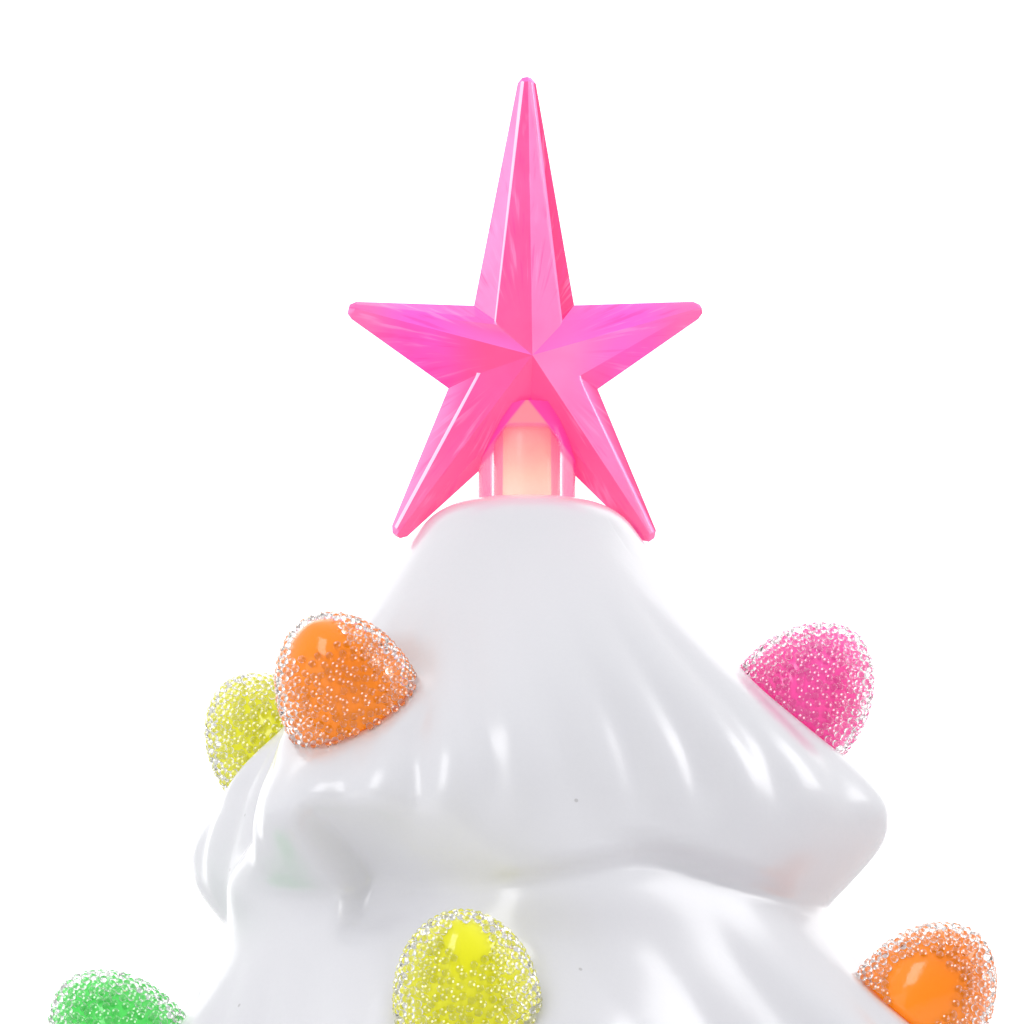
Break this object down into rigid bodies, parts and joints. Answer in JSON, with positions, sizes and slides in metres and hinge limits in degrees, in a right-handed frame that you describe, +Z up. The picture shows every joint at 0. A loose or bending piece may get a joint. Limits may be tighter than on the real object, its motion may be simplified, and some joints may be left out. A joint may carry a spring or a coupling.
{
  "type": "ceramic christmas tree",
  "caption": "White glazed tabletop tree with drooping tiered branches, sugared gumdrop bulbs and a pink star, lifting off a hollow battery base that lights it from inside.",
  "frame": {"origin": "on the table under the middle of the base", "axes": "+Z up through the tree and its star, -Y towards the viewer, +X to the viewer's right"},
  "size_m": [0.216, 0.216, 0.3193],
  "materials": {
    "white_glaze": "gloss",
    "gumdrop_pink": "gloss",
    "gumdrop_orange": "gloss",
    "gumdrop_yellow": "gloss",
    "gumdrop_green": "gloss",
    "star_pink": "gloss",
    "light_guide": "gloss",
    "base_plastic": "satin",
    "foot_rubber": "matte",
    "cell_wrap": "satin",
    "contact_metal": "satin",
    "switch_plastic": "satin",
    "board_green": "satin",
    "board_white": "satin",
    "led_warm": "gloss",
    "lead_insulation": "satin"
  },
  "bodies": {
    "base": {"base_shell": "white_glaze", "bottom_plate": "base_plastic", "rubber_feet": "foot_rubber", "battery_1": "cell_wrap", "battery_2": "cell_wrap", "battery_3": "cell_wrap", "contact_plates": "contact_metal", "contact_springs": "contact_metal", "switch_body": "switch_plastic", "control_board": "board_green", "lamp_holder": "base_plastic", "lamp_board": "board_white", "lamp_leds": "led_warm", "lead_wires": "lead_insulation"},
    "tree": {"tree_body": "white_glaze", "gumdrop_tier1_1": "gumdrop_pink", "gumdrop_tier1_2": "gumdrop_orange", "gumdrop_tier1_3": "gumdrop_yellow", "gumdrop_tier1_4": "gumdrop_green", "gumdrop_tier2_1": "gumdrop_orange", "gumdrop_tier2_2": "gumdrop_yellow", "gumdrop_tier2_3": "gumdrop_green", "gumdrop_tier2_4": "gumdrop_pink", "gumdrop_tier2_5": "gumdrop_yellow", "gumdrop_tier3_1": "gumdrop_green", "gumdrop_tier3_2": "gumdrop_pink", "gumdrop_tier3_3": "gumdrop_orange", "gumdrop_tier3_4": "gumdrop_yellow", "gumdrop_tier3_5": "gumdrop_green", "gumdrop_tier3_6": "gumdrop_orange", "gumdrop_tier3_7": "gumdrop_pink", "gumdrop_tier4_1": "gumdrop_yellow", "gumdrop_tier4_2": "gumdrop_orange", "gumdrop_tier4_3": "gumdrop_pink", "gumdrop_tier4_4": "gumdrop_green", "gumdrop_tier4_5": "gumdrop_orange", "gumdrop_tier4_6": "gumdrop_yellow", "gumdrop_tier4_7": "gumdrop_pink", "gumdrop_tier4_8": "gumdrop_green"},
    "star": {"star": "star_pink", "star_light_guide": "light_guide"},
    "door": {"battery_door": "base_plastic"},
    "switch": {"switch_knob": "switch_plastic"}
  },
  "joints": [
    {"name": "tree_lift", "type": "slide", "parent": "base", "child": "tree", "axis": [0, 0, 1], "range_m": [0, 0.06]},
    {"name": "star_lift", "type": "slide", "parent": "tree", "child": "star", "axis": [0, 0, 1], "range_m": [0, 0.03]},
    {"name": "switch_slide", "type": "slide", "parent": "base", "child": "switch", "axis": [1, 0, 0], "range_m": [-0.003, 0.003]},
    {"name": "door_hinge", "type": "hinge", "parent": "base", "child": "door", "pos_m": [-0.0301, 0, 0.0043], "axis": [0, 1, 0], "range_deg": [0, 95]}
  ]
}
